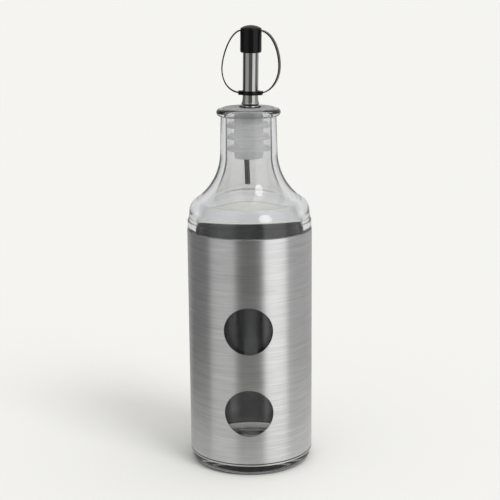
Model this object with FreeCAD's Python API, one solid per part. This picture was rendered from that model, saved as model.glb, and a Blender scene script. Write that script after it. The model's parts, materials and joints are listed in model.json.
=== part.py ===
import FreeCAD, Part
import math
import os

# Oil cruet: a clear glass bottle in a brushed steel sleeve with two round windows at its front.
# A ribbed plastic stopper sits in the mouth and carries a steel pour spout, whose black cap
# hangs on two straps from a ring round the spout. Millimetres, +Z up, the windows face -Y, and
# the origin is the middle of the ring that the bottle stands on.

os.makedirs("parts", exist_ok=True)

# ---------------------------------------------------------------- steel sleeve
SLEEVE_RADIUS = 32.5            # outside
SLEEVE_SHEET = 0.5              # thickness of the sheet
SLEEVE_HEIGHT = 120.1
SLEEVE_LIFT = 5.5               # glass heel left showing under the sleeve
SLEEVE_CLEARANCE = 0.3          # between the sheet and the glass
SLEEVE_EDGE_ROUND = 0.2         # rounding of the outer rims
HEM_HEIGHT = 0.9                # hem line above the lower rim
HEM_GROOVE_WIDTH = 0.3
HEM_GROOVE_DEPTH = 0.15
WINDOW_RADIUS = 12.5
WINDOW_HEIGHTS = (28.9, 72.6)   # window middles above the lower rim

# ---------------------------------------------------------------- glass bottle
HEEL_ROUND = 3.5                # outer rounding at the foot
FOOT_RING_WIDTH = 3.7           # flat ring that it stands on
PUNT_DEPTH = 2.5                # hollow under the base
FLOOR_THICKNESS = 6.5           # glass under the oil, at the ring
FLOOR_ROUND = 6.0               # rounding inside, between wall and floor
RIDGE_GAP = 0.25                # between the sleeve's upper rim and the ridge
RIDGE_HEIGHT = 4.6              # ridge that keeps the sleeve from riding up
RIDGE_OUT = 0.5                 # how far the ridge stands out of the body under it
RIDGE_EDGE_ROUND = 0.25
BAND_STEP = 0.4                 # step in from the ridge to the band over it
BAND_HEIGHT = 4.45              # from the ridge to where the shoulder turns in
BAND_TAPER = 0.6                # the band narrows by this much on its way up
SHOULDER_ROUND = 7.1            # outward bend at the shoulder
FLARE_ROUND = 30.1              # inward sweep from the shoulder to the neck
BODY_WALL = 3.8                 # glass behind the sleeve
INNER_SHOULDER_ROUND = 12.0     # the same bends inside, where the glass is thicker
INNER_FLARE_ROUND = 31.0
INNER_FLARE_DROP = 2.5          # the bore begins this far below the end of the outer sweep
BORE_RADIUS = 11.5              # inside of the neck
NECK_WALL = 3.3
NECK_HEIGHT = 18.2              # from the end of the sweep to the bead
NECK_TAPER = 0.5                # the neck narrows by this much on its way up
BEAD_SWELL = 2.2                # how far the bead stands out of the neck
BEAD_HEIGHT = 3.9
MOUTH_ROUND = 0.8               # rounding inside the mouth

# ---------------------------------------------------------------- stopper
FLANGE_THICKNESS = 0.5
FLANGE_OVERLAP = 1.7            # how far the flange reaches out over the lip
FLANGE_EDGE_ROUND = 0.2
CORE_RADIUS = 7.5
CORE_TAIL = 5.2                 # plain end below the last fin
CORE_CHAMFER = 0.5
FIN_COUNT = 3
FIN_FIRST_DEPTH = 8.7           # middle of the first fin below the lip
FIN_PITCH = 5.85
FIN_ROOT = 2.4                  # thickness of a fin at the core
FIN_TIP = 1.5                   # thickness of a fin at its edge
FIN_CLEARANCE = 0.2             # between a fin and the bore
POUR_CHANNEL_RADIUS = 1.7
POUR_CHANNEL_OFFSET = 3.4

# ---------------------------------------------------------------- pour spout and washer
SPOUT_RADIUS = 4.0
SPOUT_WALL = 0.55
SPOUT_OFFSET = 0.95             # middle of the spout beside the middle of the stopper
SPOUT_LEAN = 1.0                # degrees to +X
SPOUT_LENGTH = 38.5             # above the flange
SHANK_STEP = 0.4                # shank wider than the tube
SHANK_LENGTH = 8.0              # inside the stopper
FOOT_STEP = 0.1                 # foot wider than the tube
WAIST_STEP = 0.15               # waist narrower than the foot
WAIST_HEIGHT = 0.9              # from the washer to the collar
COLLAR_STEP = 0.6               # rounded collar wider than the tube
COLLAR_HEIGHT = 1.2
FLARE_STEP = 0.35               # flare wider than the tube where it meets the collar
FLARE_MIDDLE_STEP = 0.08        # and half way up
FLARE_HEIGHT = 2.4              # from the collar up to the plain tube
WASHER_WIDTH = 1.2              # how far it reaches out of the shank
WASHER_THICKNESS = 0.4
WASHER_FLOAT = 0.1              # washer above the flange, for the lean
PRESS_CLEARANCE = 0.1           # round the shank, the vent tube and in the washer

# ---------------------------------------------------------------- vent tube
VENT_RADIUS = 1.35
VENT_BORE_RADIUS = 0.9
VENT_OFFSET = 1.12              # to -X, at the end of the stopper
VENT_LEAN = 1.5                 # degrees, its lower end to +X
VENT_SEAT = 4.0                 # length inside the stopper
VENT_DROP = 14.5                # length below the stopper

# ---------------------------------------------------------------- cap, straps and ring
CAP_WALL = 1.3
CAP_CLEARANCE = 0.15            # between the cap and the spout
CAP_SKIRT = 10.8                # how far the cap reaches down over the spout
CAP_ROOF = 0.7                  # plastic over the end of the spout, at the rim
CAP_EDGE_ROUND = 1.2
CAP_EDGE_TURN = 60.0            # degrees of rounding before the top's dome begins
CAP_DOME = 2.3                  # rise of the top over its rounded edge
CAP_CHAMFER = 0.6
RING_WALL = 0.8
RING_CLEARANCE = 0.1
RING_HEIGHT = 2.0
RING_BOTTOM = 6.4               # above the flange
STRAP_THICKNESS = 0.6
STRAP_WIDTH = 3.7
STRAP_ROOT = 0.9                # how deep a strap's ends run into the cap and the ring
STRAP_TAB_LENGTH = 1.7          # thickened end at the ring
STRAP_TOLERANCE = 0.002         # of the spline that follows a strap's face
STRAP_SPANS = 60
STRAP_DEGREE = 4
# Each strap: its bearing from +X, how far its middle bows out from the spout's axis and at what
# height above the flange, and how long it keeps its direction where it leaves the cap, above the
# bow, below the bow and where it meets the ring.
STRAPS = (
    (-12.0, 15.0, 21.2, 5.6, 8.0, 7.5, 5.5),
    (184.0, 14.6, 19.8, 5.1, 5.8, 8.0, 5.2),
)

# ---------------------------------------------------------------- heights and radii worked out
BODY_RADIUS = SLEEVE_RADIUS - SLEEVE_SHEET - SLEEVE_CLEARANCE
RIDGE_RADIUS = BODY_RADIUS + RIDGE_OUT
BAND_RADIUS = RIDGE_RADIUS - BAND_STEP
SHOULDER_RADIUS = BAND_RADIUS - BAND_TAPER
NECK_RADIUS = BORE_RADIUS + NECK_WALL
NECK_TOP_RADIUS = NECK_RADIUS - NECK_TAPER
BEAD_RADIUS = NECK_TOP_RADIUS + BEAD_SWELL
FOOT_INNER_RADIUS = BODY_RADIUS - HEEL_ROUND - FOOT_RING_WIDTH
SPOUT_BORE_RADIUS = SPOUT_RADIUS - SPOUT_WALL
SHANK_RADIUS = SPOUT_RADIUS + SHANK_STEP
WASHER_RADIUS = SHANK_RADIUS + WASHER_WIDTH
CAP_BORE_RADIUS = SPOUT_RADIUS + CAP_CLEARANCE
CAP_RADIUS = CAP_BORE_RADIUS + CAP_WALL
RING_BORE_RADIUS = SPOUT_RADIUS + RING_CLEARANCE
RING_RADIUS = RING_BORE_RADIUS + RING_WALL

SLEEVE_TOP = SLEEVE_LIFT + SLEEVE_HEIGHT
RIDGE_BOTTOM = SLEEVE_TOP + RIDGE_GAP
RIDGE_TOP = RIDGE_BOTTOM + RIDGE_HEIGHT
SHOULDER_START = RIDGE_TOP + BAND_HEIGHT
BENDS_TOGETHER = SHOULDER_ROUND + FLARE_ROUND
SHOULDER_TURN = math.acos(1 - (SHOULDER_RADIUS - NECK_RADIUS) / BENDS_TOGETHER)
FLARE_TOP = SHOULDER_START + BENDS_TOGETHER * math.sin(SHOULDER_TURN)
INNER_RADIUS = BODY_RADIUS - BODY_WALL
INNER_FLARE_TOP = FLARE_TOP - INNER_FLARE_DROP
INNER_BENDS_TOGETHER = INNER_SHOULDER_ROUND + INNER_FLARE_ROUND
INNER_TURN = math.acos(1 - (INNER_RADIUS - BORE_RADIUS) / INNER_BENDS_TOGETHER)
INNER_SHOULDER_START = INNER_FLARE_TOP - INNER_BENDS_TOGETHER * math.sin(INNER_TURN)
BEAD_BOTTOM = FLARE_TOP + NECK_HEIGHT
LIP_TOP = BEAD_BOTTOM + BEAD_HEIGHT
FLANGE_TOP = LIP_TOP + FLANGE_THICKNESS
LAST_FIN_DEPTH = FIN_FIRST_DEPTH + (FIN_COUNT - 1) * FIN_PITCH
CORE_BOTTOM = LIP_TOP - LAST_FIN_DEPTH - CORE_TAIL

AXIS = FreeCAD.Vector(0, 0, 1)
ACROSS = FreeCAD.Vector(0, 1, 0)
ORIGIN = FreeCAD.Vector(0, 0, 0)


def at(radius, height):
    """Point of an outline, drawn in the plane y = 0."""
    return FreeCAD.Vector(radius, 0, height)


def turned(point, centre, degrees):
    """Point (radius, height) turned about a centre in the plane of the outline."""
    angle = math.radians(degrees)
    right = point[0] - centre[0]
    up = point[1] - centre[1]
    return (
        centre[0] + right * math.cos(angle) - up * math.sin(angle),
        centre[1] + right * math.sin(angle) + up * math.cos(angle),
    )


class Outline:
    """Closed half outline in (radius, height), drawn piece by piece and turned about the axis."""

    def __init__(self, radius, height):
        self.start = (radius, height)
        self.point = self.start
        self.edges = []

    def line_to(self, radius, height):
        self.edges.append(Part.makeLine(at(*self.point), at(radius, height)))
        self.point = (radius, height)

    def arc_to(self, middle, end):
        self.edges.append(Part.Arc(at(*self.point), at(*middle), at(*end)).toShape())
        self.point = end

    def sweep_about(self, centre, degrees):
        """Arc about a centre, from the axis side over the top for a positive angle."""
        middle = turned(self.point, centre, degrees / 2)
        end = turned(self.point, centre, degrees)
        self.arc_to(middle, end)

    def face(self):
        self.line_to(*self.start)
        return Part.Face(Part.Wire(self.edges))

    def solid(self):
        return self.face().revolve(ORIGIN, AXIS, 360)


def rod(radius, bottom, top):
    """Upright cylinder on the axis between two heights."""
    return Part.makeCylinder(radius, top - bottom, at(0, bottom), AXIS)


def leaning(shape, foot, degrees):
    """Shape drawn on the axis, set on a foot point and leant to +X."""
    placed = shape.copy()
    placed.rotate(ORIGIN, ACROSS, degrees)
    placed.translate(foot)
    return placed


def on_spout_axis(shape):
    """Shape drawn with the flange's top at height 0, put where the spout stands."""
    return leaning(shape, at(SPOUT_OFFSET, FLANGE_TOP), SPOUT_LEAN)


def on_vent_axis(shape):
    """Shape drawn with the stopper's end at height 0, put where the vent tube hangs."""
    return leaning(shape, at(-VENT_OFFSET, CORE_BOTTOM), -VENT_LEAN)


def dome(rim_radius, rise):
    """Radius of the ball that a shallow dome is cut from, and its half angle in degrees."""
    ball = (rim_radius ** 2 + rise ** 2) / (2 * rise)
    return ball, math.degrees(math.asin(rim_radius / ball))


def ridge(outline):
    """Ridge over the sleeve's upper rim, with a small lower edge and a round upper one."""
    outline.line_to(BODY_RADIUS, RIDGE_BOTTOM)
    outline.line_to(RIDGE_RADIUS - RIDGE_EDGE_ROUND, RIDGE_BOTTOM)
    outline.sweep_about((RIDGE_RADIUS - RIDGE_EDGE_ROUND, RIDGE_BOTTOM + RIDGE_EDGE_ROUND), 90)
    outline.line_to(RIDGE_RADIUS, RIDGE_TOP - BAND_STEP)
    outline.sweep_about((BAND_RADIUS, RIDGE_TOP - BAND_STEP), 90)


def glass_bottle():
    """Bottle turned in one piece: punt, heel, body, ridge, shoulder, neck, bead and bore."""
    shoulder_centre = (SHOULDER_RADIUS - SHOULDER_ROUND, SHOULDER_START)
    flare_centre = (NECK_RADIUS + FLARE_ROUND, FLARE_TOP)
    inner_shoulder_centre = (INNER_RADIUS - INNER_SHOULDER_ROUND, INNER_SHOULDER_START)
    inner_flare_centre = (BORE_RADIUS + INNER_FLARE_ROUND, INNER_FLARE_TOP)
    turn = math.degrees(SHOULDER_TURN)
    inner_turn = math.degrees(INNER_TURN)

    ball, half_angle = dome(FOOT_INNER_RADIUS, PUNT_DEPTH)
    outline = Outline(0, PUNT_DEPTH)
    outline.sweep_about((0, PUNT_DEPTH - ball), -half_angle)
    outline.line_to(BODY_RADIUS - HEEL_ROUND, 0)
    outline.sweep_about((BODY_RADIUS - HEEL_ROUND, HEEL_ROUND), 90)
    ridge(outline)
    outline.line_to(SHOULDER_RADIUS, SHOULDER_START)
    outline.sweep_about(shoulder_centre, turn)
    outline.sweep_about(flare_centre, -turn)
    outline.line_to(NECK_TOP_RADIUS, BEAD_BOTTOM)
    outline.line_to(BEAD_RADIUS - BEAD_HEIGHT / 2, BEAD_BOTTOM)
    outline.sweep_about((BEAD_RADIUS - BEAD_HEIGHT / 2, BEAD_BOTTOM + BEAD_HEIGHT / 2), 180)
    outline.line_to(BORE_RADIUS + MOUTH_ROUND, LIP_TOP)
    outline.sweep_about((BORE_RADIUS + MOUTH_ROUND, LIP_TOP - MOUTH_ROUND), 90)
    outline.line_to(BORE_RADIUS, INNER_FLARE_TOP)
    outline.sweep_about(inner_flare_centre, inner_turn)
    outline.sweep_about(inner_shoulder_centre, -inner_turn)
    outline.line_to(INNER_RADIUS, FLOOR_THICKNESS + FLOOR_ROUND)
    outline.sweep_about((INNER_RADIUS - FLOOR_ROUND, FLOOR_THICKNESS + FLOOR_ROUND), -90)
    outline.line_to(0, FLOOR_THICKNESS)
    return outline.solid()


def steel_sleeve():
    """Open tube of sheet with rounded rims, a hem line and two windows through its front."""
    inner = SLEEVE_RADIUS - SLEEVE_SHEET
    rounded = SLEEVE_RADIUS - SLEEVE_EDGE_ROUND
    hem = SLEEVE_LIFT + HEM_HEIGHT
    grooved = SLEEVE_RADIUS - HEM_GROOVE_DEPTH

    outline = Outline(inner, SLEEVE_LIFT)
    outline.line_to(rounded, SLEEVE_LIFT)
    outline.sweep_about((rounded, SLEEVE_LIFT + SLEEVE_EDGE_ROUND), 90)
    outline.line_to(SLEEVE_RADIUS, hem)
    outline.line_to(grooved, hem + HEM_GROOVE_WIDTH / 2)
    outline.line_to(SLEEVE_RADIUS, hem + HEM_GROOVE_WIDTH)
    outline.line_to(SLEEVE_RADIUS, SLEEVE_TOP - SLEEVE_EDGE_ROUND)
    outline.sweep_about((rounded, SLEEVE_TOP - SLEEVE_EDGE_ROUND), 90)
    outline.line_to(inner, SLEEVE_TOP)
    sleeve = outline.solid()
    for height in WINDOW_HEIGHTS:
        middle = at(0, SLEEVE_LIFT + height)
        sleeve = sleeve.cut(Part.makeCylinder(WINDOW_RADIUS, 2 * SLEEVE_RADIUS, middle, -ACROSS))
    return sleeve


def stopper():
    """Flanged plug with sealing fins, bored for the spout, the oil and the vent tube."""
    flange_radius = BORE_RADIUS + FLANGE_OVERLAP
    fin_radius = BORE_RADIUS - FIN_CLEARANCE
    edge = FLANGE_EDGE_ROUND

    outline = Outline(0, CORE_BOTTOM)
    outline.line_to(CORE_RADIUS - CORE_CHAMFER, CORE_BOTTOM)
    outline.line_to(CORE_RADIUS, CORE_BOTTOM + CORE_CHAMFER)
    for number in reversed(range(FIN_COUNT)):
        middle = LIP_TOP - FIN_FIRST_DEPTH - number * FIN_PITCH
        outline.line_to(CORE_RADIUS, middle - FIN_ROOT / 2)
        outline.line_to(fin_radius - FIN_TIP / 2, middle - FIN_TIP / 2)
        outline.sweep_about((fin_radius - FIN_TIP / 2, middle), 180)
        outline.line_to(CORE_RADIUS, middle + FIN_ROOT / 2)
    outline.line_to(CORE_RADIUS, LIP_TOP)
    outline.line_to(flange_radius - edge, LIP_TOP)
    outline.sweep_about((flange_radius - edge, LIP_TOP + edge), 90)
    outline.line_to(flange_radius, FLANGE_TOP - edge)
    outline.sweep_about((flange_radius - edge, FLANGE_TOP - edge), 90)
    outline.line_to(0, FLANGE_TOP)
    plug = outline.solid()

    shank_bore = rod(SHANK_RADIUS + PRESS_CLEARANCE, -SHANK_LENGTH, FLANGE_THICKNESS)
    vent_bore = rod(VENT_RADIUS + PRESS_CLEARANCE, -VENT_SEAT, VENT_SEAT)
    channel_length = FLANGE_TOP - SHANK_LENGTH / 2 - CORE_BOTTOM
    channel_foot = at(POUR_CHANNEL_OFFSET, CORE_BOTTOM)
    channel = Part.makeCylinder(POUR_CHANNEL_RADIUS, channel_length, channel_foot, AXIS)
    plug = plug.cut(on_spout_axis(shank_bore))
    plug = plug.cut(on_vent_axis(vent_bore))
    return plug.cut(channel)


def pour_spout():
    """Steel tube with a shank in the stopper, a waisted foot, a round collar and a short flare."""
    washer_top = WASHER_FLOAT + WASHER_THICKNESS
    collar_bottom = washer_top + WAIST_HEIGHT
    collar_top = collar_bottom + COLLAR_HEIGHT
    foot_radius = SPOUT_RADIUS + FOOT_STEP
    waist_middle = (foot_radius - WAIST_STEP, (washer_top + collar_bottom) / 2)
    collar_middle = (SPOUT_RADIUS + COLLAR_STEP, (collar_bottom + collar_top) / 2)
    flare_middle = (SPOUT_RADIUS + FLARE_MIDDLE_STEP, collar_top + FLARE_HEIGHT / 2)

    outline = Outline(SPOUT_BORE_RADIUS, -SHANK_LENGTH)
    outline.line_to(SHANK_RADIUS, -SHANK_LENGTH)
    outline.line_to(SHANK_RADIUS, 0)
    outline.line_to(foot_radius, washer_top)
    outline.arc_to(waist_middle, (foot_radius, collar_bottom))
    outline.arc_to(collar_middle, (SPOUT_RADIUS + FLARE_STEP, collar_top))
    outline.arc_to(flare_middle, (SPOUT_RADIUS, collar_top + FLARE_HEIGHT))
    outline.line_to(SPOUT_RADIUS, SPOUT_LENGTH)
    outline.line_to(SPOUT_BORE_RADIUS, SPOUT_LENGTH)
    return on_spout_axis(outline.solid())


def spout_washer():
    """Thin black washer under the spout's foot."""
    bottom = WASHER_FLOAT
    disc = rod(WASHER_RADIUS, bottom, bottom + WASHER_THICKNESS)
    hole = rod(SHANK_RADIUS + PRESS_CLEARANCE, bottom - 1, bottom + WASHER_THICKNESS + 1)
    return on_spout_axis(disc.cut(hole))


def vent_tube():
    """Thin steel tube, seated in the end of the stopper and open into the bottle."""
    outer = rod(VENT_RADIUS, -VENT_DROP, VENT_SEAT)
    bore = rod(VENT_BORE_RADIUS, -VENT_DROP - 1, VENT_SEAT + 1)
    return on_vent_axis(outer.cut(bore))


def cap():
    """Domed cap with a bore that slips over the spout."""
    bottom = SPOUT_LENGTH - CAP_SKIRT
    rim = SPOUT_LENGTH + CAP_ROOF
    top = rim + CAP_DOME

    outline = Outline(CAP_BORE_RADIUS, bottom)
    outline.line_to(CAP_RADIUS - CAP_CHAMFER, bottom)
    outline.line_to(CAP_RADIUS, bottom + CAP_CHAMFER)
    outline.line_to(CAP_RADIUS, rim)
    outline.sweep_about((CAP_RADIUS - CAP_EDGE_ROUND, rim), CAP_EDGE_TURN)
    ball, half_angle = dome(outline.point[0], top - outline.point[1])
    outline.sweep_about((0, top - ball), half_angle)
    outline.line_to(0, SPOUT_LENGTH)
    outline.line_to(CAP_BORE_RADIUS, SPOUT_LENGTH)
    return outline.solid()


def strap_ring():
    """Ring round the spout that the straps end in."""
    outline = Outline(RING_BORE_RADIUS, RING_BOTTOM)
    outline.line_to(RING_RADIUS, RING_BOTTOM)
    outline.line_to(RING_RADIUS, RING_BOTTOM + RING_HEIGHT)
    outline.line_to(RING_BORE_RADIUS, RING_BOTTOM + RING_HEIGHT)
    return outline.solid()


def bowed(corners):
    """Smooth curve through the first and last of four corners, led by the two between."""
    curve = Part.BezierCurve()
    curve.setPoles([at(*corner) for corner in corners])
    return curve


def beside(curve, distance):
    """Edge that keeps a distance from a curve in the plane y = 0."""
    exact = Part.OffsetCurve(curve, distance, ACROSS)
    return exact.approximateBSpline(STRAP_TOLERANCE, STRAP_SPANS, STRAP_DEGREE).toShape()


def ribbon(curve):
    """Band of the straps' thickness and width along a curve in the plane y = 0."""
    sides = [beside(curve, side * STRAP_THICKNESS / 2) for side in (1, -1)]
    ends = [
        Part.makeLine(sides[0].valueAt(value), sides[1].valueAt(value))
        for value in (sides[0].FirstParameter, sides[0].LastParameter)
    ]
    outline = Part.Wire(Part.__sortEdges__(sides + ends))
    band = Part.Face(outline).extrude(ACROSS * STRAP_WIDTH)
    band.translate(ACROSS * (-STRAP_WIDTH / 2))
    return band


def strap(bearing, bow, bow_height, cap_pull, upper_pull, lower_pull, ring_pull):
    """One strap from the cap's rim out to its widest place and back in to the ring."""
    cap_end = (CAP_RADIUS - STRAP_ROOT, SPOUT_LENGTH + CAP_ROOF - STRAP_THICKNESS / 2)
    ring_end = (RING_RADIUS - STRAP_ROOT / 2, RING_BOTTOM + RING_HEIGHT / 2)
    widest = (bow, bow_height)
    upper = bowed([
        cap_end,
        (CAP_RADIUS + cap_pull, cap_end[1]),
        (bow, bow_height + upper_pull),
        widest,
    ])
    lower = bowed([
        widest,
        (bow, bow_height - lower_pull),
        (RING_RADIUS + ring_pull, ring_end[1]),
        ring_end,
    ])
    tab = Part.makeBox(
        STRAP_TAB_LENGTH, STRAP_WIDTH, RING_HEIGHT,
        FreeCAD.Vector(ring_end[0], -STRAP_WIDTH / 2, RING_BOTTOM),
    )
    whole = ribbon(upper).fuse([ribbon(lower), tab])
    whole.rotate(ORIGIN, AXIS, bearing)
    return whole


def cap_and_strap():
    """Cap, two straps and ring, moulded in one piece."""
    pieces = [strap(*sizes) for sizes in STRAPS] + [strap_ring()]
    passage = rod(RING_BORE_RADIUS, RING_BOTTOM - 1, RING_BOTTOM + RING_HEIGHT + 1)
    hollow = rod(CAP_BORE_RADIUS, SPOUT_LENGTH - CAP_SKIRT - 1, SPOUT_LENGTH)
    whole = cap().fuse(pieces).cut(passage).cut(hollow)
    return on_spout_axis(whole.removeSplitter())


PIECES = {
    "glass_bottle": glass_bottle,
    "steel_sleeve": steel_sleeve,
    "stopper": stopper,
    "pour_spout": pour_spout,
    "spout_washer": spout_washer,
    "vent_tube": vent_tube,
    "cap_and_strap": cap_and_strap,
}

for name, build in PIECES.items():
    shape = build()
    solids = shape.Solids
    if len(solids) != 1 or not shape.isValid():
        raise RuntimeError(f"{name}: {len(solids)} solids, valid {shape.isValid()}")
    solids[0].exportStep(f"parts/{name}.step")
    box = solids[0].BoundBox
    print(f"{name}: {solids[0].Volume:.1f} mm3, z {box.ZMin:.2f} to {box.ZMax:.2f}")
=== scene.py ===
import json
import logging
import math
from dataclasses import dataclass
from enum import Enum

import bmesh
import bpy
from mathutils import Matrix, Vector

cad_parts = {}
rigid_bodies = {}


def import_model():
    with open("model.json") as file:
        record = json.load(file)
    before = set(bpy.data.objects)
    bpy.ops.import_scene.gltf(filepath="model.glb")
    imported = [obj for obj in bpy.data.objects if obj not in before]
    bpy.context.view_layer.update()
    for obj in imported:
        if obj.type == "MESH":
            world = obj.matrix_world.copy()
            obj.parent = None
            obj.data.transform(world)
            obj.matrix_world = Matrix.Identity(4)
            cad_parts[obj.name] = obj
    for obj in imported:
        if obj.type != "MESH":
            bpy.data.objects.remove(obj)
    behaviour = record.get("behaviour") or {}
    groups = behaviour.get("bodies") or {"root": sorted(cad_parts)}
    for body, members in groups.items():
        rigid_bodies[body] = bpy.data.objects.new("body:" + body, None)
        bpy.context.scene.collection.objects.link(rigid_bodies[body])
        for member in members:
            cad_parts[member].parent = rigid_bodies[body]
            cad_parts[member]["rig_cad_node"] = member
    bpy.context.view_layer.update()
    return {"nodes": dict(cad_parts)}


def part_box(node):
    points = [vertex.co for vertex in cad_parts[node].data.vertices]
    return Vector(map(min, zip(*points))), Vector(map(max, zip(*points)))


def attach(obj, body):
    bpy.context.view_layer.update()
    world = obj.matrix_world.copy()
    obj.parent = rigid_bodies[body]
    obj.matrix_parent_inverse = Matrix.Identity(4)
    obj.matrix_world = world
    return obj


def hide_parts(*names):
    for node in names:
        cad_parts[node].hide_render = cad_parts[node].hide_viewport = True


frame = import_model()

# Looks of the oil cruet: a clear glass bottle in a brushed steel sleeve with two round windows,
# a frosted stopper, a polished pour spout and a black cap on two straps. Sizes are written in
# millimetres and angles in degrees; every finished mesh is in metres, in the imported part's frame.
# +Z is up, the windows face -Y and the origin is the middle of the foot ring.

MM = 0.001
MERGE_DISTANCE = 1e-4
AXIS = (0.0, 0.0, 1.0)
QUARTER_TURN = 90.0
HALF_TURN = 180.0
FULL_TURN = 360.0
EVENLY = (1.0, 1.0, 1.0)
NOISE_ROUGHNESS = 0.6
NOISE_LOW = 0.3
NOISE_HIGH = 0.7
AROUND_THE_TUBE = 0.25
log = logging.getLogger("oil_cruet")


class Slot(Enum):
    """Material slots of the part's record."""

    GLASS = "clear_glass"
    SLEEVE = "sleeve_steel"
    SPOUT = "spout_steel"
    VENT = "vent_steel"
    STOPPER = "stopper_plastic"
    WASHER = "washer_rubber"
    CAP = "cap_plastic"


# ------------------------------------------------------------------------------ node trees


class Graph:
    """Short hand for filling a node tree."""

    def __init__(self, tree: bpy.types.NodeTree) -> None:
        """Empties a tree and keeps it.

        Args:
            tree: The node tree to fill.
        """
        self.tree = tree
        self.tree.nodes.clear()

    def add(self, kind: str, inputs: dict | None = None, **settings: object) -> bpy.types.Node:
        """Adds one node.

        Args:
            kind: The node's type without its "ShaderNode" prefix.
            inputs: Socket values by socket name or index.
            **settings: Properties of the node itself.

        Returns:
            The new node.
        """
        node = self.tree.nodes.new("ShaderNode" + kind)
        for name, value in settings.items():
            setattr(node, name, value)
        for name, value in (inputs or {}).items():
            node.inputs[name].default_value = value
        return node

    def link(self, source: bpy.types.NodeSocket, target: bpy.types.NodeSocket) -> None:
        """Joins two sockets.

        Args:
            source: The socket that gives the value.
            target: The socket that takes it.
        """
        self.tree.links.new(source, target)

    def math(self, operation: str, first: object, second: object = 0.0) -> bpy.types.NodeSocket:
        """Adds a Math node.

        Args:
            operation: The node's operation.
            first: A socket or a number.
            second: A socket or a number.

        Returns:
            The node's output socket.
        """
        node = self.add("Math", operation=operation)
        for socket, value in zip(node.inputs, (first, second)):
            if isinstance(value, bpy.types.NodeSocket):
                self.link(value, socket)
            else:
                socket.default_value = value
        return node.outputs[0]

    def grain(self, stretch: tuple[float, float, float], scale: float, detail: float = 3.0
              ) -> bpy.types.NodeSocket:
        """Adds a noise pattern on the piece's own coordinates.

        Args:
            stretch: Scale along x, y and z before the noise.
            scale: Scale of the noise, per metre.
            detail: Octaves of the noise.

        Returns:
            The noise's value, around 0.5.
        """
        place = self.add("TexCoord")
        mapping = self.add("Mapping", {"Scale": stretch})
        noise = self.add("TexNoise", {"Scale": scale, "Detail": detail, "Roughness": NOISE_ROUGHNESS})
        self.link(place.outputs["Object"], mapping.inputs["Vector"])
        self.link(mapping.outputs[0], noise.inputs["Vector"])
        return noise.outputs["Fac"]

    def height(self) -> bpy.types.NodeSocket:
        """Adds the height on the piece, in metres.

        Returns:
            The height's socket.
        """
        parts = self.add("SeparateXYZ")
        self.link(self.add("TexCoord").outputs["Object"], parts.inputs[0])
        return parts.outputs["Z"]

    def blend(self, share: bpy.types.NodeSocket, first: object, second: object
              ) -> bpy.types.NodeSocket:
        """Mixes two colours.

        Args:
            share: Share of the second colour.
            first: A socket or a colour.
            second: A socket or a colour.

        Returns:
            The mixed colour.
        """
        node = self.add("Mix", data_type="RGBA")
        self.link(share, node.inputs["Factor"])
        for name, value in (("A", first), ("B", second)):
            if isinstance(value, bpy.types.NodeSocket):
                self.link(value, node.inputs[name])
            else:
                node.inputs[name].default_value = (*value, 1.0)
        return node.outputs["Result"]

    def between(self, value: bpy.types.NodeSocket, low: float, high: float,
                start: float = NOISE_LOW, stop: float = NOISE_HIGH) -> bpy.types.NodeSocket:
        """Maps a value from one range to another.

        Args:
            value: The socket to map.
            low: Result at start.
            high: Result at stop.
            start: Lower end of the incoming range.
            stop: Upper end of the incoming range.

        Returns:
            The mapped value.
        """
        node = self.add("MapRange", {1: start, 2: stop, 3: low, 4: high})
        self.link(value, node.inputs[0])
        return node.outputs[0]

    def tint(self, value: bpy.types.NodeSocket, dark: tuple, light: tuple,
             start: float = NOISE_LOW, stop: float = NOISE_HIGH) -> bpy.types.NodeSocket:
        """Turns a value into a colour between two colours.

        Args:
            value: The socket to read.
            dark: Colour at start.
            light: Colour at stop.
            start: Position of the first colour.
            stop: Position of the second colour.

        Returns:
            The colour.
        """
        ramp = self.add("ValToRGB")
        ramp.color_ramp.elements[0].position = start
        ramp.color_ramp.elements[0].color = (*dark, 1.0)
        ramp.color_ramp.elements[1].position = stop
        ramp.color_ramp.elements[1].color = (*light, 1.0)
        self.link(value, ramp.inputs[0])
        return ramp.outputs[0]

    def relief(self, height: bpy.types.NodeSocket, depth: float, strength: float
               ) -> bpy.types.NodeSocket:
        """Adds a bump.

        Args:
            height: The height pattern.
            depth: Height of the pattern in metres.
            strength: Share of the bump that is used.

        Returns:
            The bent normal.
        """
        bump = self.add("Bump", {"Strength": strength, "Distance": depth})
        self.link(height, bump.inputs["Height"])
        return bump.outputs[0]

    def close(self, surface: bpy.types.NodeSocket, kind: str = "OutputMaterial") -> None:
        """Joins the last shader to the tree's output.

        Args:
            surface: The last shader.
            kind: The output node's type without its "ShaderNode" prefix.
        """
        self.link(surface, self.add(kind).inputs["Surface"])


# ------------------------------------------------------------------------------ finishes


@dataclass(frozen=True)
class Finish:
    """A surface finish. Each kind fills its own node tree in paint()."""

    name: str

    def material(self) -> bpy.types.Material:
        """Makes the material of this finish.

        Returns:
            The new material.
        """
        material = bpy.data.materials.new(self.name)
        material.use_nodes = True
        graph = Graph(material.node_tree)
        graph.close(self.paint(graph))
        return material

    def paint(self, graph: Graph) -> bpy.types.NodeSocket:
        """Adds the nodes of the finish and returns its shader.

        Args:
            graph: The material's graph.

        Returns:
            The finish's shader.
        """
        raise NotImplementedError


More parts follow.
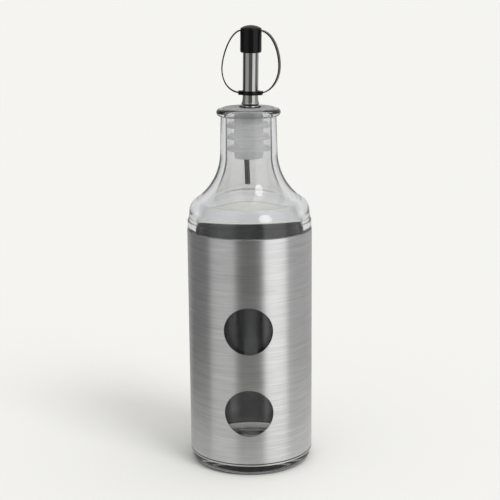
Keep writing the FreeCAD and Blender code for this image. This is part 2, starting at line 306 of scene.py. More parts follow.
@dataclass(frozen=True)
class BrushedSteel(Finish):
    """Stainless sheet with fine brush lines that run round the axis."""

    dark: tuple = (0.50, 0.50, 0.50)
    light: tuple = (0.70, 0.70, 0.695)
    # Painted shade: a dark colour, and the heights of its band along the hem line near the foot.
    hem_painted_shade: tuple = (0.10, 0.10, 0.10)
    hem_shade_heights: tuple[float, float] = (0.0063, 0.0069)
    roughness: float = 0.36
    roughness_spread: float = 0.03
    anisotropy: float = 0.85
    line_stretch: float = 0.012
    line_scale: float = 2600.0
    line_share: float = 0.5
    line_depth: float = 0.000005
    line_strength: float = 0.4
    streak_stretch: float = 0.10
    streak_scale: float = 520.0
    streak_share: float = 0.3
    cloud_stretch: float = 0.4
    cloud_scale: float = 55.0
    cloud_share: float = 0.2
    tone_range: tuple[float, float] = (0.35, 0.65)

    def paint(self, graph: Graph) -> bpy.types.NodeSocket:
        """Adds anisotropic steel with lines, streaks, uneven roughness and painted shade in the hem line.

        Args:
            graph: The material's graph.

        Returns:
            The finish's shader.
        """
        lines = graph.grain((self.line_stretch, self.line_stretch, 1.0), self.line_scale)
        streaks = graph.grain((self.streak_stretch, self.streak_stretch, 1.0), self.streak_scale)
        clouds = graph.grain((self.cloud_stretch, self.cloud_stretch, 1.0), self.cloud_scale)
        fine = graph.math("MULTIPLY", lines, self.line_share)
        middle = graph.math("MULTIPLY", streaks, self.streak_share)
        broad = graph.math("ADD", middle, graph.math("MULTIPLY", clouds, self.cloud_share))
        tone = graph.tint(graph.math("ADD", fine, broad), self.dark, self.light, *self.tone_range)
        # Painted shade: the steel turns dark in the thin band of the hem line.
        low, high = self.hem_shade_heights
        height = graph.height()
        above = graph.math("GREATER_THAN", height, low)
        in_hem_shade = graph.math("MULTIPLY", above, graph.math("LESS_THAN", height, high))
        steel = graph.add("BsdfPrincipled", {
            "Metallic": 1.0, "Anisotropic": self.anisotropy, "Anisotropic Rotation": AROUND_THE_TUBE,
        })
        tangent = graph.add("Tangent", direction_type="RADIAL", axis="Z")
        graph.link(graph.blend(in_hem_shade, tone, self.hem_painted_shade), steel.inputs["Base Color"])
        spread = self.roughness_spread
        rough = graph.between(clouds, self.roughness - spread, self.roughness + spread)
        graph.link(rough, steel.inputs["Roughness"])
        graph.link(tangent.outputs[0], steel.inputs["Tangent"])
        graph.link(graph.relief(lines, self.line_depth, self.line_strength), steel.inputs["Normal"])
        return steel.outputs[0]


@dataclass(frozen=True)
class MillSteel(Finish):
    """Dull rolled face of the same sheet, also darkened as painted shade inside the sleeve, with a brighter
    band at the rim above a height that is a painted highlight.
    """

    # The lining's tone: partly its own dull mill finish, partly painted shade inside the sleeve.
    dark: tuple = (0.10, 0.10, 0.099)
    light: tuple = (0.15, 0.15, 0.149)
    # Painted highlight: the lining's colour in a brighter band near the rim.
    rim_painted_highlight: tuple = (0.92, 0.92, 0.91)
    roughness: float = 0.5
    smoother: float = 0.04
    rougher: float = 0.06
    anisotropy: float = 0.8
    roll_stretch: float = 0.02
    roll_scale: float = 1400.0
    roll_depth: float = 0.000003
    roll_strength: float = 0.3
    rim: float = 0.1135
    rim_blend: float = 0.0015

    def paint(self, graph: Graph) -> bpy.types.NodeSocket:
        """Adds rough steel with faint rolling lines round the axis and a brighter rim band that is a
        painted highlight.

        Args:
            graph: The material's graph.

        Returns:
            The finish's shader.
        """
        rolled = graph.grain((self.roll_stretch, self.roll_stretch, 1.0), self.roll_scale)
        edge = (self.rim - self.rim_blend, self.rim + self.rim_blend)
        rim_highlight_share = graph.between(graph.height(), 0.0, 1.0, *edge)
        steel = graph.add("BsdfPrincipled", {
            "Metallic": 1.0, "Anisotropic": self.anisotropy, "Anisotropic Rotation": AROUND_THE_TUBE,
        })
        tangent = graph.add("Tangent", direction_type="RADIAL", axis="Z")
        # Painted highlight: the lining turns brighter above the rim height.
        tone = graph.blend(rim_highlight_share, graph.tint(rolled, self.dark, self.light), self.rim_painted_highlight)
        graph.link(tone, steel.inputs["Base Color"])
        graph.link(tangent.outputs[0], steel.inputs["Tangent"])
        rough = graph.between(rolled, self.roughness - self.smoother, self.roughness + self.rougher)
        graph.link(rough, steel.inputs["Roughness"])
        graph.link(graph.relief(rolled, self.roll_depth, self.roll_strength), steel.inputs["Normal"])
        return steel.outputs[0]


@dataclass(frozen=True)
class PolishedSteel(Finish):
    """Drawn and polished tube."""

    dark: tuple = (0.38, 0.38, 0.375)
    light: tuple = (0.46, 0.46, 0.455)
    roughness: float = 0.08
    smoother: float = 0.03
    rougher: float = 0.05
    draw_stretch: float = 0.04
    draw_scale: float = 1500.0
    draw_depth: float = 0.000002
    draw_strength: float = 0.2
    wear_scale: float = 260.0

    def paint(self, graph: Graph) -> bpy.types.NodeSocket:
        """Adds steel with faint lines along the tube and fine wear in the polish.

        Args:
            graph: The material's graph.

        Returns:
            The finish's shader.
        """
        drawn = graph.grain((1.0, 1.0, self.draw_stretch), self.draw_scale)
        wear = graph.grain(EVENLY, self.wear_scale)
        steel = graph.add("BsdfPrincipled", {"Metallic": 1.0})
        graph.link(graph.tint(drawn, self.dark, self.light), steel.inputs["Base Color"])
        rough = graph.between(wear, self.roughness - self.smoother, self.roughness + self.rougher)
        graph.link(rough, steel.inputs["Roughness"])
        graph.link(graph.relief(drawn, self.draw_depth, self.draw_strength), steel.inputs["Normal"])
        return steel.outputs[0]


@dataclass(frozen=True)
class PressedGlass(Finish):
    """Clear pressed glass with a barely uneven skin, tinted dark at the foot as painted shade."""

    colour: tuple = (0.82, 0.825, 0.83)
    # Painted shade: the glass colour below these heights at the foot.
    heel_painted_shade: tuple = (0.30, 0.30, 0.31)
    heel_shade_heights: tuple[float, float] = (0.005, 0.0065)
    ior: float = 1.5
    wave_stretch: float = 0.7
    wave_scale: float = 70.0
    wave_detail: float = 1.0
    wave_depth: float = 0.0002
    wave_strength: float = 0.25

    def paint(self, graph: Graph) -> bpy.types.NodeSocket:
        """Adds refracting glass whose skin waves a little.

        Args:
            graph: The material's graph.

        Returns:
            The finish's shader.
        """
        waves = graph.grain((1.0, 1.0, self.wave_stretch), self.wave_scale, self.wave_detail)
        # Share of the clear colour; below it the glass takes the painted shade.
        clear = graph.between(graph.height(), 0.0, 1.0, *self.heel_shade_heights)
        glass = graph.add("BsdfPrincipled", {
            "Roughness": 0.0, "IOR": self.ior, "Transmission Weight": 1.0,
        })
        graph.link(graph.blend(clear, self.heel_painted_shade, self.colour), glass.inputs["Base Color"])
        graph.link(graph.relief(waves, self.wave_depth, self.wave_strength), glass.inputs["Normal"])
        return glass.outputs[0]


@dataclass(frozen=True)
class FrostedPlastic(Finish):
    """Milky plastic that lets light through but no sharp picture; its glow stands for light within."""

    dark: tuple = (0.95, 0.95, 0.95)
    light: tuple = (0.99, 0.99, 0.99)
    roughness: float = 0.4
    transmission: float = 0.3
    translucence: float = 0.45
    glow: float = 0.1
    ior: float = 1.25
    # Painted shade: a darker colour above these heights, round the spout's steel stem inside the plug.
    shank_painted_shade: tuple = (0.54, 0.54, 0.54)
    shank_shade_heights: tuple[float, float] = (0.180, 0.186)
    smoother: float = 0.04
    rougher: float = 0.06
    flow_stretch: float = 0.35
    flow_scale: float = 220.0
    pore_scale: float = 3200.0
    pore_depth: float = 0.00001
    pore_strength: float = 0.2

    def paint(self, graph: Graph) -> bpy.types.NodeSocket:
        """Adds rough transmission over a milky, translucent body, darker with painted shade round the
        spout's steel stem.

        Args:
            graph: The material's graph.

        Returns:
            The finish's shader.
        """
        flow = graph.grain((1.0, 1.0, self.flow_stretch), self.flow_scale)
        pores = graph.grain(EVENLY, self.pore_scale)
        plain = graph.tint(flow, self.dark, self.light)
        # Painted shade over the top of the plug, round the spout's steel stem.
        over = graph.between(graph.height(), 0.0, 1.0, *self.shank_shade_heights)
        tone = graph.blend(over, plain, self.shank_painted_shade)
        plastic = graph.add("BsdfPrincipled", {
            "IOR": self.ior, "Transmission Weight": self.transmission,
            "Emission Strength": self.glow,
        })
        graph.link(tone, plastic.inputs["Base Color"])
        rough = graph.between(flow, self.roughness - self.smoother, self.roughness + self.rougher)
        graph.link(rough, plastic.inputs["Roughness"])
        graph.link(graph.relief(pores, self.pore_depth, self.pore_strength), plastic.inputs["Normal"])
        milk = graph.add("BsdfTranslucent")
        graph.link(tone, milk.inputs["Color"])
        body = graph.add("MixShader", {0: self.translucence})
        graph.link(plastic.outputs[0], body.inputs[1])
        graph.link(milk.outputs[0], body.inputs[2])
        return body.outputs[0]


@dataclass(frozen=True)
class MouldedBlack(Finish):
    """Black plastic or rubber with a fine moulded skin."""

    dark: tuple = (0.002, 0.002, 0.002)
    light: tuple = (0.005, 0.005, 0.005)
    roughness: float = 0.2
    smoother: float = 0.05
    rougher: float = 0.08
    ior: float = 1.3
    skin_scale: float = 2400.0
    skin_depth: float = 0.00001
    skin_strength: float = 0.3
    smear_stretch: float = 0.5
    smear_scale: float = 180.0

    def paint(self, graph: Graph) -> bpy.types.NodeSocket:
        """Adds a dark body with a pebbled skin and uneven gloss.

        Args:
            graph: The material's graph.

        Returns:
            The finish's shader.
        """
        skin = graph.grain(EVENLY, self.skin_scale)
        smears = graph.grain((1.0, 1.0, self.smear_stretch), self.smear_scale)
        black = graph.add("BsdfPrincipled", {"IOR": self.ior})
        graph.link(graph.tint(skin, self.dark, self.light), black.inputs["Base Color"])
        rough = graph.between(smears, self.roughness - self.smoother, self.roughness + self.rougher)
        graph.link(rough, black.inputs["Roughness"])
        graph.link(graph.relief(skin, self.skin_depth, self.skin_strength), black.inputs["Normal"])
        return black.outputs[0]


# ------------------------------------------------------------------------------ shapes


class Outline:
    """Half outline of a turned piece, drawn as a wire in the plane y = 0, in millimetres."""

    def __init__(self, radius: float, height: float) -> None:
        """Starts the outline.

        Args:
            radius: Radius of the first point.
            height: Height of the first point.
        """
        self.mesh = bmesh.new()
        self.first = self.mesh.verts.new((radius, 0.0, height))
        self.tip = self.first

    def line_to(self, radius: float, height: float) -> "Outline":
        """Adds a straight stretch to a point.

        Args:
            radius: Radius of the point.
            height: Height of the point.

        Returns:
            The outline.
        """
        self.tip = bmesh.ops.extrude_vert_indiv(self.mesh, verts=[self.tip])["verts"][0]
        self.tip.co = (radius, 0.0, height)
        return self

    def sweep(self, centre: tuple[float, float], degrees: float, steps: int) -> "Outline":
        """Adds an arc about a centre.

        Args:
            centre: Radius and height of the arc's centre.
            degrees: Turn of the arc, positive from the radius towards up.
            steps: Straight steps of the arc.

        Returns:
            The outline.
        """
        swept = bmesh.ops.spin(
            self.mesh, geom=[self.tip], cent=(centre[0], 0.0, centre[1]), axis=(0.0, -1.0, 0.0),
            angle=math.radians(degrees), steps=steps, use_merge=False, use_duplicate=False,
        )
        self.tip = swept["geom_last"][0]
        return self

    def turned(self, steps: int, closed: bool = True) -> bmesh.types.BMesh:
        """Spins the outline all the way round the axis.

        Args:
            steps: Steps of the full turn.
            closed: Whether the outline's ends are joined first.

        Returns:
            A closed mesh with its faces outwards.
        """
        if closed:
            self.mesh.edges.new((self.tip, self.first))
        bmesh.ops.spin(
            self.mesh, geom=list(self.mesh.verts) + list(self.mesh.edges), cent=(0.0, 0.0, 0.0),
            axis=AXIS, angle=math.tau, steps=steps, use_merge=True, use_duplicate=False,
        )
        bmesh.ops.remove_doubles(self.mesh, verts=self.mesh.verts, dist=MERGE_DISTANCE)
        bmesh.ops.recalc_face_normals(self.mesh, faces=self.mesh.faces)
        return self.mesh


def piece(mesh: bmesh.types.BMesh, name: str, smooth_below: float = 32.0) -> bpy.types.Object:
    """Turns a mesh in millimetres into an object in metres.

    Args:
        mesh: The finished mesh, which is freed.
        name: Name of the object.
        smooth_below: Edges that turn less than this many degrees are shaded smooth.

    Returns:
        The new object, at the origin.
    """
    bmesh.ops.scale(mesh, vec=(MM, MM, MM), verts=mesh.verts)
    data = bpy.data.meshes.new(name)
    mesh.to_mesh(data)
    mesh.free()
    data.polygons.foreach_set("use_smooth", [True] * len(data.polygons))
    data.set_sharp_from_angle(angle=math.radians(smooth_below))
    made = bpy.data.objects.new(name, data)
    bpy.context.scene.collection.objects.link(made)
    return made


def dress(made: bpy.types.Object, slot: Slot, *finishes: Finish) -> None:
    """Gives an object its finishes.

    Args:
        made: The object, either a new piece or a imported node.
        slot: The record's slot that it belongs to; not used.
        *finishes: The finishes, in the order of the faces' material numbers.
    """
    made.data.materials.clear()
    for finish in finishes:
        made.data.materials.append(finish.material())


def stand_for(made: bpy.types.Object, *nodes: str) -> bpy.types.Object:
    """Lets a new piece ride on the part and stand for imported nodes.

    Args:
        made: The new piece.
        *nodes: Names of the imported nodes.

    Returns:
        The same piece.
    """
    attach(made, "root")
    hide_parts(*nodes)
    log.info("%s: %d faces, stands for %s", made.name, len(made.data.polygons), ", ".join(nodes))
    return made


# ------------------------------------------------------------------------------ pieces


@dataclass
class Bottle:
    """The glass bottle, turned in one piece."""

    steps: int = 288
    body_radius: float = 31.7
    heel_round: float = 3.5
    foot_ring: float = 3.7
    punt_depth: float = 2.5
    floor: float = 6.5
    floor_round: float = 6.0
    ridge_bottom: float = 125.85
    ridge_height: float = 4.6
    ridge_out: float = 0.5
    ridge_edge: float = 0.25
    band_step: float = 0.4
    band_height: float = 4.45
    band_taper: float = 0.6
    shoulder_round: float = 7.1
    flare_round: float = 30.1
    body_wall: float = 3.8
    inner_shoulder_round: float = 9.5
    inner_flare_round: float = 31.0
    inner_flare_drop: float = 2.5
    bore_radius: float = 11.5
    neck_wall: float = 3.3
    neck_taper: float = 0.5
    bead_swell: float = 2.2
    bead_height: float = 3.9
    mouth_round: float = 0.8
    punt_steps: int = 14
    round_steps: int = 16
    ridge_steps: int = 5
    band_steps: int = 6
    shoulder_steps: int = 24
    flare_steps: int = 32
    bead_steps: int = 24
    mouth_steps: int = 8

    def bends(self, wide: float, narrow: float, rounds: float) -> tuple[float, float]:
        """Works out how far two opposite bends turn.

        Args:
            wide: Radius where the first bend starts.
            narrow: Radius where the second bend ends.
            rounds: Radius of the two bends together.

        Returns:
            The turn of each bend in degrees and the height of both together.
        """
        turn = math.acos(1 - (wide - narrow) / rounds)
        return math.degrees(turn), rounds * math.sin(turn)

    def outside(self, outline: Outline, lip: float) -> float:
        """Draws the outside from the punt to the top of the lip.

        Args:
            outline: The outline, which stands at the middle of the punt.
            lip: Height of the top of the lip.

        Returns:
            The height where the neck begins.
        """
        ridge = self.body_radius + self.ridge_out
        ridge_top = self.ridge_bottom + self.ridge_height
        band = ridge - self.band_step
        shoulder = band - self.band_taper
        start = ridge_top + self.band_height
        neck = self.bore_radius + self.neck_wall
        turn, rise = self.bends(shoulder, neck, self.shoulder_round + self.flare_round)
        foot = self.body_radius - self.heel_round - self.foot_ring
        ball = (foot ** 2 + self.punt_depth ** 2) / (2 * self.punt_depth)
        bead_bottom = lip - self.bead_height
        bead = neck - self.neck_taper + self.bead_swell - self.bead_height / 2

        arch = -math.degrees(math.asin(foot / ball))
        outline.sweep((0.0, self.punt_depth - ball), arch, self.punt_steps)
        outline.line_to(self.body_radius - self.heel_round, 0.0)
        outline.sweep((self.body_radius - self.heel_round, self.heel_round), QUARTER_TURN, self.round_steps)
        outline.line_to(self.body_radius, self.ridge_bottom)
        outline.line_to(ridge - self.ridge_edge, self.ridge_bottom)
        corner = (ridge - self.ridge_edge, self.ridge_bottom + self.ridge_edge)
        outline.sweep(corner, QUARTER_TURN, self.ridge_steps)
        outline.line_to(ridge, ridge_top - self.band_step)
        outline.sweep((band, ridge_top - self.band_step), QUARTER_TURN, self.band_steps)
        outline.line_to(shoulder, start)
        outline.sweep((shoulder - self.shoulder_round, start), turn, self.shoulder_steps)
        outline.sweep((neck + self.flare_round, start + rise), -turn, self.flare_steps)
        outline.line_to(neck - self.neck_taper, bead_bottom)
        outline.line_to(bead, bead_bottom)
        outline.sweep((bead, bead_bottom + self.bead_height / 2), HALF_TURN, self.bead_steps)
        return start + rise

    def inside(self, outline: Outline, lip: float, neck_start: float) -> None:
        """Draws the inside from the mouth down the bore to the middle of the floor.

        Args:
            outline: The outline, which stands on top of the lip.
            lip: Height of the top of the lip.
            neck_start: Height where the neck begins outside.
        """
        inner = self.body_radius - self.body_wall
        flare_top = neck_start - self.inner_flare_drop
        rounds = self.inner_shoulder_round + self.inner_flare_round
        turn, rise = self.bends(inner, self.bore_radius, rounds)
        outline.line_to(self.bore_radius + self.mouth_round, lip)
        mouth = (self.bore_radius + self.mouth_round, lip - self.mouth_round)
        outline.sweep(mouth, QUARTER_TURN, self.mouth_steps)
        outline.line_to(self.bore_radius, flare_top)
        flare = (self.bore_radius + self.inner_flare_round, flare_top)
        outline.sweep(flare, turn, self.flare_steps)
        shoulder = (inner - self.inner_shoulder_round, flare_top - rise)
        outline.sweep(shoulder, -turn, self.shoulder_steps)
        outline.line_to(inner, self.floor + self.floor_round)
        corner = (inner - self.floor_round, self.floor + self.floor_round)
        outline.sweep(corner, -QUARTER_TURN, self.round_steps)
        outline.line_to(0.0, self.floor)

    def build(self) -> bpy.types.Object:
        """Draws the outline from the punt up the outside and down the inside, and turns it.

        Returns:
            The new bottle.
        """
        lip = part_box("glass_bottle")[1].z / MM
        outline = Outline(0.0, self.punt_depth)
        self.inside(outline, lip, self.outside(outline, lip))
        return piece(outline.turned(self.steps, closed=False), "bottle")

    def dress(self, bottle: bpy.types.Object) -> None:
        """Gives the bottle its glass.

        Args:
            bottle: The new bottle.
        """
        dress(bottle, Slot.GLASS, PressedGlass("pressed_glass"))


@dataclass
class Sleeve:
    """The brushed sleeve with its hem and its two windows."""

    steps: int = 288
    radius: float = 32.5
    sheet: float = 0.5
    edge: float = 0.2
    hem_height: float = 0.9
    hem_width: float = 0.3
    hem_depth: float = 0.15
    window_radius: float = 12.5
    window_heights: tuple[float, float] = (28.9, 72.6)
    edge_steps: int = 5
    window_steps: int = 128
    smooth_below: float = 25.0
    face_depth: float = 0.02
    upright_below: float = 0.1
    aligned_above: float = 0.9

    def tube(self, bottom: float, top: float) -> bmesh.types.BMesh:
        """Turns the sleeve without its windows.

        Args:
            bottom: Height of the lower rim.
            top: Height of the upper rim.

        Returns:
            The closed tube.
        """
        inner = self.radius - self.sheet
        hem = bottom + self.hem_height
        outline = Outline(inner, bottom)
        outline.line_to(self.radius - self.edge, bottom)
        outline.sweep((self.radius - self.edge, bottom + self.edge), QUARTER_TURN, self.edge_steps)
        outline.line_to(self.radius, hem)
        outline.line_to(self.radius - self.hem_depth, hem + self.hem_width / 2)
        outline.line_to(self.radius, hem + self.hem_width)
        outline.line_to(self.radius, top - self.edge)
        outline.sweep((self.radius - self.edge, top - self.edge), QUARTER_TURN, self.edge_steps)
        outline.line_to(inner, top)
        return outline.turned(self.steps)

    def cutter(self, height: float) -> bpy.types.Object:
        """Makes the round punch of one window.

        Args:
            height: Height of the window's middle.

        Returns:
            A cylinder from the axis out to the front.
        """
        punch = bmesh.new()
        bmesh.ops.create_cone(
            punch, cap_ends=True, segments=self.window_steps, radius1=self.window_radius,
            radius2=self.window_radius, depth=2 * self.radius,
            matrix=Matrix.Translation((0.0, -self.radius, height)) @ Matrix.Rotation(math.pi / 2, 4, "X"),
        )
        return piece(punch, "punch")

    def punched(self, sleeve: bpy.types.Object, bottom: float) -> None:
        """Cuts the windows through the front of the sleeve.

        Args:
            sleeve: The new sleeve.
            bottom: Height of the sleeve's lower rim.
        """
        for height in self.window_heights:
            punch = self.cutter(bottom + height)
            cut = sleeve.modifiers.new("window", "BOOLEAN")
            cut.object = punch
            cut.solver = "EXACT"
            shape = bpy.context.evaluated_depsgraph_get()
            data = bpy.data.meshes.new_from_object(sleeve.evaluated_get(shape))
            sleeve.modifiers.remove(cut)
            sleeve.data = data
            bpy.data.objects.remove(punch)

    def shaded(self, sleeve: bpy.types.Object) -> None:
        """Gives the sheet's two faces the normals of a true cylinder and marks its lining.

        Args:
            sleeve: The new sleeve.
        """
        outside = (self.radius - self.face_depth) * MM
        inside = (self.radius - self.sheet + self.face_depth) * MM
        data = sleeve.data
        normals = []
        for polygon in data.polygons:
            for corner in polygon.loop_indices:
                place = data.vertices[data.loops[corner].vertex_index].co
                radial = Vector((place.x, place.y, 0.0))
                upright = abs(polygon.normal.z) < self.upright_below
                aligned = polygon.normal.dot(radial.normalized())
                if upright and aligned > self.aligned_above and radial.length > outside:
                    normals.append(radial.normalized())
                elif upright and aligned < -self.aligned_above and radial.length < inside:
                    normals.append(-radial.normalized())
                    polygon.material_index = 1
                else:
                    normals.append(data.corner_normals[corner].vector.copy())
        data.normals_split_custom_set(normals)

    def build(self) -> bpy.types.Object:
        """Turns the tube, punches the windows and smooths its shading.

        Returns:
            The new sleeve.
        """
        low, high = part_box("steel_sleeve")
        sleeve = piece(self.tube(low.z / MM, high.z / MM), "sleeve", self.smooth_below)
        self.punched(sleeve, low.z / MM)
        self.shaded(sleeve)
        return sleeve

    def dress(self, sleeve: bpy.types.Object) -> None:
        """Gives the sleeve its brushed outside and its dull lining, with painted shade inside and a painted
        highlight at the rim.

        Args:
            sleeve: The new sleeve.
        """
        dress(sleeve, Slot.SLEEVE, BrushedSteel("brushed_sleeve"), MillSteel("sleeve_lining"))


@dataclass
class Stopper:
    """The frosted plug with its flange, its fins and its three bores."""

    def build(self) -> bpy.types.Object:
        """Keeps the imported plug, whose shape is right.

        Returns:
            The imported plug.
        """
        return frame["nodes"]["stopper"]

    def dress(self, stopper: bpy.types.Object) -> None:
        """Gives the plug its frosted plastic.

        Args:
            stopper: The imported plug.
        """
        dress(stopper, Slot.STOPPER, FrostedPlastic("frosted_stopper"))


@dataclass
class Spout:
    """The pour spout, its washer and the vent tube under the stopper."""

    vent_dark: tuple = (0.16, 0.16, 0.16)
    vent_light: tuple = (0.24, 0.24, 0.24)
    vent_roughness: float = 0.35
    washer_roughness: float = 0.55

    def build(self) -> list[bpy.types.Object]:
        """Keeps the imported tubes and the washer, whose shapes are right.

        Returns:
            The spout, the washer and the vent tube.
        """
        return [frame["nodes"][name] for name in ("pour_spout", "spout_washer", "vent_tube")]

    def dress(self, parts: list[bpy.types.Object]) -> None:
        """Gives the spout its polish, the washer its rubber and the vent its dull steel.

        Args:
            parts: The spout, the washer and the vent tube.
        """
        spout, washer, vent = parts
        dull = PolishedSteel("vent_steel", self.vent_dark, self.vent_light, self.vent_roughness)
        dress(spout, Slot.SPOUT, PolishedSteel("polished_spout"))
        rubber = MouldedBlack("washer_rubber", roughness=self.washer_roughness)
        dress(washer, Slot.WASHER, rubber)
        dress(vent, Slot.VENT, dull)


@dataclass
class CapAndStraps:
    """The black cap, its two straps and their ring."""

    def build(self) -> bpy.types.Object:
        """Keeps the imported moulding.

        Returns:
            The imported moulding.
        """
        return frame["nodes"]["cap_and_strap"]

    def dress(self, cap: bpy.types.Object) -> None:
        """Gives the moulding its black plastic.

        Args:
            cap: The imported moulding.
        """
        dress(cap, Slot.CAP, MouldedBlack("cap_plastic"))


# ------------------------------------------------------------------------------ studio


@dataclass(frozen=True)
class Paper(Finish):
    """Pale studio paper."""

    pale: tuple = (0.80, 0.795, 0.765)
    fibre: tuple = (0.815, 0.81, 0.78)
    fibre_scale: float = 900.0
    near: float = 0.03
    far: float = 0.17

    def paint(self, graph: Graph) -> bpy.types.NodeSocket:
        """Adds matt paper that mirrors see only near the object.

        Args:
            graph: The material's graph.

        Returns:
            The finish's shader.
        """
        fibres = graph.grain(EVENLY, self.fibre_scale)
        paper = graph.add("BsdfDiffuse")
        graph.link(graph.tint(fibres, self.pale, self.fibre), paper.inputs["Color"])
        place = graph.add("TexCoord")
        reach = graph.add("VectorMath", operation="LENGTH")
        graph.link(place.outputs["Object"], reach.inputs[0])
        away = graph.between(reach.outputs["Value"], 0.0, 1.0, self.near, self.far)
        mirrored = graph.math("GREATER_THAN", graph.add("LightPath").outputs["Glossy Depth"], 0.5)
        seen = graph.add("MixShader")
        graph.link(graph.math("MULTIPLY", away, mirrored), seen.inputs[0])
        graph.link(paper.outputs[0], seen.inputs[1])
        graph.link(graph.add("BsdfTransparent").outputs[0], seen.inputs[2])
        return seen.outputs[0]


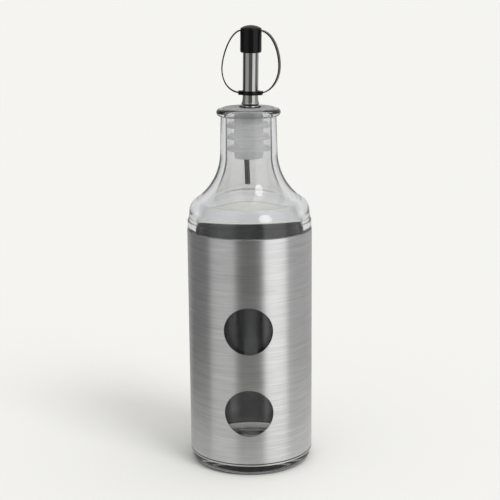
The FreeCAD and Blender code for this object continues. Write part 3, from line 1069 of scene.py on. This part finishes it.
@dataclass
class Studio:
    """Floor, sky, key light and camera."""

    floor_size: float = 60.0
    camera_turn: float = 1.9
    camera_reach: float = 668.8
    camera_height: float = 266.5
    camera_aside: float = 0.15
    camera_dip: float = 12.893
    camera_roll: float = -0.51
    focal_length: float = 94.24
    sensor_width: float = 36.0
    clip_end: float = 200.0
    key_from: float = 42.0
    key_up: float = 47.0
    key_spread: float = 24.0
    key_strength: float = 1.01
    fill_up: float = 75.0
    fill_even: float = 0.13
    fill_lobe: float = 1.5
    overhead: float = 1.5
    overhead_from: tuple[float, float] = (0.3, 0.65)
    bands: tuple = (
        (-180.0, 0.50), (-150.0, 0.42), (-134.0, 0.23), (-82.0, 0.23), (-76.0, 0.62),
        (-30.0, 0.62), (-24.0, 0.16), (22.0, 0.16), (30.0, 1.27), (68.0, 1.27), (76.0, 0.53),
        (180.0, 0.53),
    )
    glass_bands: tuple = (
        (-180.0, 0.85), (-132.0, 0.85), (-128.0, 0.10), (-119.0, 0.10), (-114.0, 0.50),
        (-82.0, 0.40), (-76.0, 0.75), (-30.0, 0.75), (-24.0, 0.35), (22.0, 0.35), (30.0, 0.95),
        (68.0, 0.95), (76.0, 0.70), (114.0, 0.70), (119.0, 0.10), (128.0, 0.10), (132.0, 0.85),
        (180.0, 0.85),
    )
    band_top: float = 1.4

    def floor(self) -> None:
        """Lays a wide sheet of paper at the object's foot."""
        sheet = bmesh.new()
        bmesh.ops.create_grid(sheet, x_segments=1, y_segments=1, size=self.floor_size / 2 / MM)
        ground = piece(sheet, "studio_floor")
        ground.data.materials.append(Paper("studio_paper").material())

    def ring(self, graph: Graph, share: bpy.types.NodeSocket, bands: tuple) -> bpy.types.NodeSocket:
        """Adds one ring of upright light and dark bands.

        Args:
            graph: The world's graph.
            share: Bearing as a share of the full turn.
            bands: Bearings from the camera in degrees, each with its brightness.

        Returns:
            The brightness as a share of the brightest band.
        """
        ramp = graph.add("ValToRGB")
        ramp.color_ramp.interpolation = "EASE"
        stops = ramp.color_ramp.elements
        while len(stops) > 1:
            stops.remove(stops[-1])
        for number, (degrees, level) in enumerate(bands):
            position = min(1.0, max(0.0, (degrees + self.camera_turn) / FULL_TURN + 0.5))
            stop = stops[0] if number == 0 else stops.new(position)
            stop.position = position
            stop.color = (level / self.band_top,) * 3 + (1.0,)
        graph.link(share, ramp.inputs[0])
        return ramp.outputs[0]

    def fill(self, graph: Graph, ray: bpy.types.NodeSocket) -> bpy.types.NodeSocket:
        """Adds the soft fill, brightest high on the key's side.

        Args:
            graph: The world's graph.
            ray: Direction that the light comes from.

        Returns:
            The fill's strength.
        """
        across, up = math.radians(self.key_from + self.camera_turn), math.radians(self.fill_up)
        side = (math.sin(across) * math.cos(up), -math.cos(across) * math.cos(up), math.sin(up))
        toward = graph.add("VectorMath", {1: side}, operation="DOT_PRODUCT")
        graph.link(ray, toward.inputs[0])
        lobe = graph.math("MULTIPLY", graph.math("MAXIMUM", toward.outputs["Value"]), self.fill_lobe)
        return graph.math("ADD", lobe, self.fill_even)

    def sky(self) -> None:
        """Fills the world: soft light for matt surfaces, upright bands for steel and glass."""
        world = bpy.data.worlds.new("studio_sky")
        world.use_nodes = True
        bpy.context.scene.world = world
        graph = Graph(world.node_tree)
        ray = graph.add("TexCoord").outputs["Generated"]
        parts = graph.add("SeparateXYZ")
        graph.link(ray, parts.inputs[0])
        back = graph.math("MULTIPLY", parts.outputs["Y"], -1.0)
        bearing = graph.math("ARCTAN2", parts.outputs["X"], back)
        share = graph.math("ADD", graph.math("DIVIDE", bearing, math.tau), 0.5)
        path = graph.add("LightPath")
        within = graph.math("GREATER_THAN", path.outputs["Transmission Depth"], 0.5)
        chosen = graph.add("Mix", data_type="RGBA")
        graph.link(within, chosen.inputs["Factor"])
        graph.link(self.ring(graph, share, self.bands), chosen.inputs["A"])
        graph.link(self.ring(graph, share, self.glass_bands), chosen.inputs["B"])
        lift = graph.between(parts.outputs["Z"], 1.0, self.overhead, *self.overhead_from)
        banded = graph.add("Background")
        graph.link(chosen.outputs["Result"], banded.inputs["Color"])
        graph.link(graph.math("MULTIPLY", lift, self.band_top), banded.inputs["Strength"])
        even = graph.add("Background")
        graph.link(self.fill(graph, ray), even.inputs["Strength"])
        matt = graph.math("MAXIMUM", path.outputs["Is Diffuse Ray"], path.outputs["Is Camera Ray"])
        seen = graph.add("MixShader")
        graph.link(matt, seen.inputs[0])
        graph.link(banded.outputs[0], seen.inputs[1])
        graph.link(even.outputs[0], seen.inputs[2])
        graph.close(seen.outputs[0], "OutputWorld")

    def key(self) -> None:
        """Hangs the large soft key light at the right."""
        light = bpy.data.lights.new("key_light", "SUN")
        light.energy = self.key_strength
        light.angle = math.radians(self.key_spread)
        lamp = bpy.data.objects.new("key_light", light)
        aim = Matrix.Rotation(math.radians(self.key_from + self.camera_turn), 4, "Z")
        lamp.matrix_world = aim @ Matrix.Rotation(math.radians(QUARTER_TURN - self.key_up), 4, "X")
        lamp.visible_glossy = False
        bpy.context.scene.collection.objects.link(lamp)

    def camera(self) -> None:
        """Sets up the camera, which looks down at the front from a little to the right."""
        lens = bpy.data.cameras.new("camera")
        lens.lens = self.focal_length
        lens.sensor_width = self.sensor_width
        lens.clip_end = self.clip_end
        eye = bpy.data.objects.new("camera", lens)
        turn = Matrix.Rotation(math.radians(self.camera_turn), 4, "Z")
        stand = Matrix.Translation(Vector((self.camera_aside, -self.camera_reach, self.camera_height)) * MM)
        dip = Matrix.Rotation(math.radians(QUARTER_TURN - self.camera_dip), 4, "X")
        roll = Matrix.Rotation(math.radians(self.camera_roll), 4, "Z")
        eye.matrix_world = turn @ stand @ dip @ roll
        bpy.context.scene.collection.objects.link(eye)
        bpy.context.scene.camera = eye

    def build(self) -> None:
        """Sets up the whole studio."""
        bpy.context.scene.view_settings.view_transform = "Standard"
        self.floor()
        self.sky()
        self.key()
        self.camera()


def main() -> None:
    """Builds and dresses the cruet from the bottle outwards, then sets up the studio."""
    logging.basicConfig(level=logging.INFO, format="%(message)s")
    bottle = Bottle()
    glass = stand_for(bottle.build(), "glass_bottle")
    bottle.dress(glass)
    sleeve = Sleeve()
    steel = stand_for(sleeve.build(), "steel_sleeve")
    sleeve.dress(steel)
    for group in (Stopper(), Spout(), CapAndStraps()):
        made = group.build()
        group.dress(made)
        log.info("%s: kept from the part", type(group).__name__)
    Studio().build()


if __name__ == "__main__":
    main()
